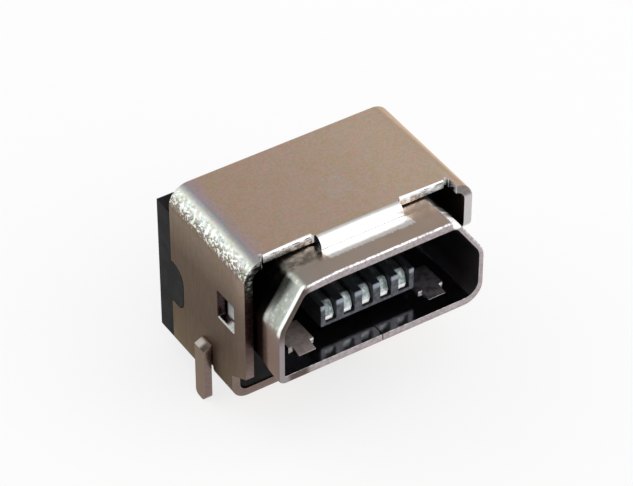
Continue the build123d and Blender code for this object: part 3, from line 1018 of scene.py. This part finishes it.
mouth = bridge_rings("mouth_tube", [
    mouth_ring(LIP, 3.64, 2.19, 5.74, OUTSIDE_ROUNDS, (1.08, 1.60), (0.88, 1.55), 0.10),
    mouth_ring(FLARE_END, 3.64, 2.21, 5.71, OUTSIDE_ROUNDS, (1.06, 1.56), (0.88, 1.50), 0.08),
    mouth_ring(NECK_END, 3.585, 2.29, 5.57, OUTSIDE_ROUNDS, (0.95, 1.42), (0.85, 1.35), 0.07),
    mouth_ring(MOUTH_REAR, 3.645, 2.29, 5.60, OUTSIDE_ROUNDS),
    mouth_ring(MOUTH_REAR - 0.02, 3.445, 2.49, 5.40, INSIDE_ROUNDS, (0.74, 1.11), (0.80, 1.20)),
    mouth_ring(NECK_END, 3.445, 2.49, 5.38, INSIDE_ROUNDS, (0.86, 1.30), (0.80, 1.25), 0.05),
    mouth_ring(LIP + 0.02, 3.45, 2.49, 5.44, INSIDE_ROUNDS, (0.87, 1.29), (0.72, 1.27), 0.06)])
count(mouth)

# Close lines beside each break of the flare keep the strip between them flat, so it mirrors the tab.
for y in (FLARE_END + 0.13, NECK_END - 0.03):
    score(lambda f, p: True, mm(0, y, 0), (0, 1, 0))
count(mouth)

# %% Slit the seam and round the lip
LATCH_X, LATCH_HALF, LATCH_TOP = 2.32, 0.44, 2.60
RAMP_HALF, RAMP_REACH = 0.30, 0.36


def make_latch(x):
    """A spring latch stamped up from the mouth's floor, with a ramp in front."""
    latch = block("latch", (-LATCH_HALF, -2.74, 2.42), (LATCH_HALF, -1.80, LATCH_TOP))
    for cut_x in (-RAMP_HALF, RAMP_HALF):
        score(lambda f, p: True, mm(cut_x, 0, 0), (1, 0, 0))
    choose("FACE", lambda f, p: f.normal.y < -0.9 and abs(middle(p).x) < 0.01)
    extrude(0, -RAMP_REACH, 0)
    choose("EDGE", lambda e, p: all(v.y < -2.9 and v.z > LATCH_TOP - 0.01 for v in p))
    bpy.ops.transform.translate(value=mm(0, 0, -0.10))
    choose_all()
    bpy.ops.transform.translate(value=mm(x, 0, 0))
    let_go()
    latch.data.materials.append(mouth_metal)
    return latch


def is_outer_rim(e, p):
    """Whether an edge lies between the lip's flat face and the mouth's outside."""
    outward = middle(p) - Vector((0, LIP, 3.9))
    fronts = [f for f in e.link_faces if f.normal.y < -0.95]
    others = [f for f in e.link_faces if f.normal.y > -0.5]
    return bool(fronts and others) and others[0].normal.dot(outward) > 0


seam = block("seam", (-0.015, -4.5, 2.0), (0.015, 1.5, 2.6))
mouth.data.materials.append(mouth_metal)
roll(mouth, is_outer_rim, 0.10)
cut(mouth, [seam])
count(mouth)
for x in (-LATCH_X, LATCH_X):
    latch = make_latch(x)
    apply(mouth, "BOOLEAN", object=latch, operation="UNION", solver="EXACT", material_mode="TRANSFER")
    bpy.data.objects.remove(latch)
    count(mouth)
soften(mouth, 0.04, segments=3, limit=50)
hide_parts("mouth_shell")
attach(mouth, "root")

# %% [markdown]
# ## Core and block
#
# Both are moulded plastic, plain blocks with slots and steps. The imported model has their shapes
# already, but with knife-sharp edges that a mould can't give. A copy of each is merged, its flat faces
# are dissolved into one each, and a small bevel rounds the edges.

# %% Round the plastic pieces
def moulded_copy(node, name, material, width):
    """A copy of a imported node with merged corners, dissolved flats and rounded edges."""
    let_go()
    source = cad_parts[node]
    piece = source.copy()
    piece.data = source.data.copy()
    piece.data.transform(source.matrix_world)
    piece.name = name
    piece.parent = None
    piece.matrix_world.identity()
    bpy.context.scene.collection.objects.link(piece)
    take(piece, "EDIT")
    choose_all()
    bpy.ops.mesh.remove_doubles(threshold=1e-7)
    bpy.ops.mesh.dissolve_limited(angle_limit=math.radians(1))
    let_go()
    piece.data.materials.clear()
    piece.data.materials.append(material)
    soften(piece, width)
    return piece


core = moulded_copy("housing", "moulded_core", core_plastic, 0.02)
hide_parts("housing")
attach(core, "root")
block_piece = moulded_copy("riser_block", "moulded_block", block_plastic, 0.03)
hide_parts("riser_block")
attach(block_piece, "root")

# %% [markdown]
# ## Contacts
#
# Each contact is one strip of plated metal: a nose bent down over the tongue's tip, a beam that lies in
# its groove, and a tail that goes down through the block and the board. A press bends it from flat
# strip. Here one edge is extruded along the strip's path and Solidify gives the thickness. One contact
# is modelled with each tail, and the others are copies.

# %% Sizes of a contact, in mm
STRIP, STRIP_HALF, NOSE_HALF = 0.17, 0.18, 0.14
CONTACT_PITCH = 0.65
NOSE_PATH = [(-2.640, 3.03), (-2.600, 3.17), (-2.545, 3.33), (-2.500, 3.42), (-2.445, 3.457), (-2.38, 3.465)]
BEAM_Z, TAIL_TIP, TAIL_BEND = 3.465, -0.75, 0.16
TAILS = {"contact_1": 1.62, "contact_2": 2.24, "contact_3": 1.62, "contact_4": 2.24, "contact_5": 1.62}


# %% Draw a contact along its path
def make_contact(name, tail):
    """One strip: the edge of a plane, extruded from nose to tail, then thickened."""
    path = list(NOSE_PATH) + [(tail - TAIL_BEND, BEAM_Z)]
    for step in range(1, 6):
        angle = math.radians(18 * step)
        path.append((tail - TAIL_BEND + TAIL_BEND * math.sin(angle),
                     BEAM_Z - TAIL_BEND + TAIL_BEND * math.cos(angle)))
    path.append((tail, TAIL_TIP))
    let_go()
    start_y, start_z = path[0]
    bpy.ops.mesh.primitive_plane_add(size=2 * STRIP_HALF * MM, location=mm(0, start_y - STRIP_HALF, start_z))
    strip = bpy.context.object
    strip.name = name
    bpy.ops.object.transform_apply(location=True)
    bpy.ops.object.mode_set(mode="EDIT")
    choose("VERT", lambda v, p: p[0].y < start_y - 0.01)
    bpy.ops.mesh.delete(type="VERT")
    choose("EDGE", lambda e, p: True)
    for (y, z), (next_y, next_z) in zip(path, path[1:]):
        extrude(0, next_y - y, next_z - z)
    narrow = choose("VERT", lambda v, p: p[0].x > 0 and abs(p[0].z - start_z) < 0.01 and p[0].y < -2.5)
    bpy.ops.transform.translate(value=mm(NOSE_HALF - STRIP_HALF - 0.04, 0, 0))
    let_go()
    strip.data.materials.append(contact_metal)
    apply(strip, "SOLIDIFY", thickness=STRIP * MM, offset=0, use_even_offset=True)
    soften(strip, 0.02)
    print(name, "runs through", len(path), "points;", narrow, "corner narrowed")
    return strip


def shifted_copy(piece, name, x):
    """A copy with its own mesh, moved along x inside that mesh."""
    let_go()
    twin = piece.copy()
    twin.data = piece.data.copy()
    twin.name = name
    bpy.context.scene.collection.objects.link(twin)
    take(twin, "EDIT")
    choose_all()
    bpy.ops.transform.translate(value=mm(x, 0, 0))
    let_go()
    return twin


patterns = {tail: make_contact(f"strip_with_tail_{i}", tail)
            for i, tail in enumerate(sorted(set(TAILS.values())))}
for number, (node, tail) in enumerate(TAILS.items()):
    strip = shifted_copy(patterns[tail], f"{node}_strip", CONTACT_PITCH * (number - 2))
    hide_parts(node)
    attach(strip, "root")
for pattern in patterns.values():
    bpy.data.objects.remove(pattern)
print("placed", len(TAILS), "contacts")

# %% [markdown]
# ## Floor, sky and lamp
#
# The photograph is on plain white. The floor is white paper: most of what the camera and the metal see
# of it is its own plain white, and the rest is the light that falls on it, so it keeps a soft shadow.
# Metal shows what is around it. The sky is therefore a dim dome with two large soft windows: one in
# front on the right, which the tab and the rolled edges mirror over their painted highlights, and one behind
# on the left, which the cover's fold mirrors under its painted bands. Together they light a grey card to
# about its own grey.

# %% Lay the floor under the legs' tips
FLOOR_Z, FLOOR_SIZE = -0.81, 2.0          # in mm under the board face, and in m across
OWN_WHITE = 0.75                          # the share of the floor's look that is its own plain white


def make_floor_paint():
    """White paper that shows a share of its own white to the camera, to metal and to glass."""
    paint = bpy.data.materials.new("white_paper")
    paint.use_nodes = True
    Wiring.tree = tree = paint.node_tree
    paper = tree.nodes["Principled BSDF"]
    paper.inputs["Base Color"].default_value = (0.93, 0.93, 0.93, 1)
    paper.inputs["Roughness"].default_value = 0.9
    paper.inputs["Specular IOR Level"].default_value = 0.0
    rays = wire_all("ShaderNodeLightPath")
    seen = either(rays["Is Camera Ray"], rays["Is Glossy Ray"])
    seen = either(seen, rays["Is Transmission Ray"])
    white = wire("ShaderNodeEmission", {"Color": (1, 1, 1, 1), "Strength": 1.0})
    share = times(seen, OWN_WHITE)
    surface = wire("ShaderNodeMixShader", {0: share, 1: paper.outputs[0], 2: white})
    tree.links.new(surface, tree.nodes["Material Output"].inputs["Surface"])
    return paint


let_go()
bpy.ops.mesh.primitive_plane_add(size=FLOOR_SIZE, location=mm(0, 0, FLOOR_Z))
floor = bpy.context.object
floor.name = "pale_floor"
bpy.ops.object.transform_apply(location=True)
floor.data.materials.append(make_floor_paint())
print("floor lies at", FLOOR_Z, "mm")


# %% Make the sky
DIM, BRIGHT = 0.50, 1.40
FRONT_WINDOW = (0.41, -0.62, 0.67)
BACK_WINDOW = (-0.66, 0.66, 0.36)


def make_sky():
    """A dim dome with two soft windows."""
    world = bpy.data.worlds.new("studio_sky")
    bpy.context.scene.world = world
    world.use_nodes = True
    Wiring.tree = tree = world.node_tree
    way = wire("ShaderNodeTexCoord", out=0)

    def window(direction, inner, outer):
        """1 within so many degrees of a direction, and 0 outside so many."""
        unit = Vector(direction).normalized()
        toward = wire("ShaderNodeVectorMath", {0: way, 1: tuple(unit)}, out=1, operation="DOT_PRODUCT")
        return ease(toward, math.cos(math.radians(outer)), math.cos(math.radians(inner)))

    glow = either(window(FRONT_WINDOW, 30, 58), window(BACK_WINDOW, 22, 54))
    colour = mix(glow, (DIM,) * 3, (BRIGHT,) * 3)
    tree.links.new(colour, tree.nodes["Background"].inputs[0])


make_sky()
print("sky runs from", DIM, "to", BRIGHT)


# %% Hang the lamp
def softbox(name, place, aim, width, height, watts):
    """A rectangular area lamp that faces a point."""
    let_go()
    bpy.ops.object.light_add(type="AREA", location=place)
    lamp = bpy.context.object
    lamp.name = name
    lamp.rotation_euler = (aim - place).to_track_quat("-Z", "Y").to_euler()
    lamp.data.shape = "RECTANGLE"
    lamp.data.size = width * MM
    lamp.data.size_y = height * MM
    lamp.data.energy = watts
    print(name, "gives", round(watts / (math.pi * width * height * MM * MM), 2), "W per m2 and sr")


softbox("front_softbox", mm(60, -95, 95), mm(0, 0, 3), 90, 70, 0.02)
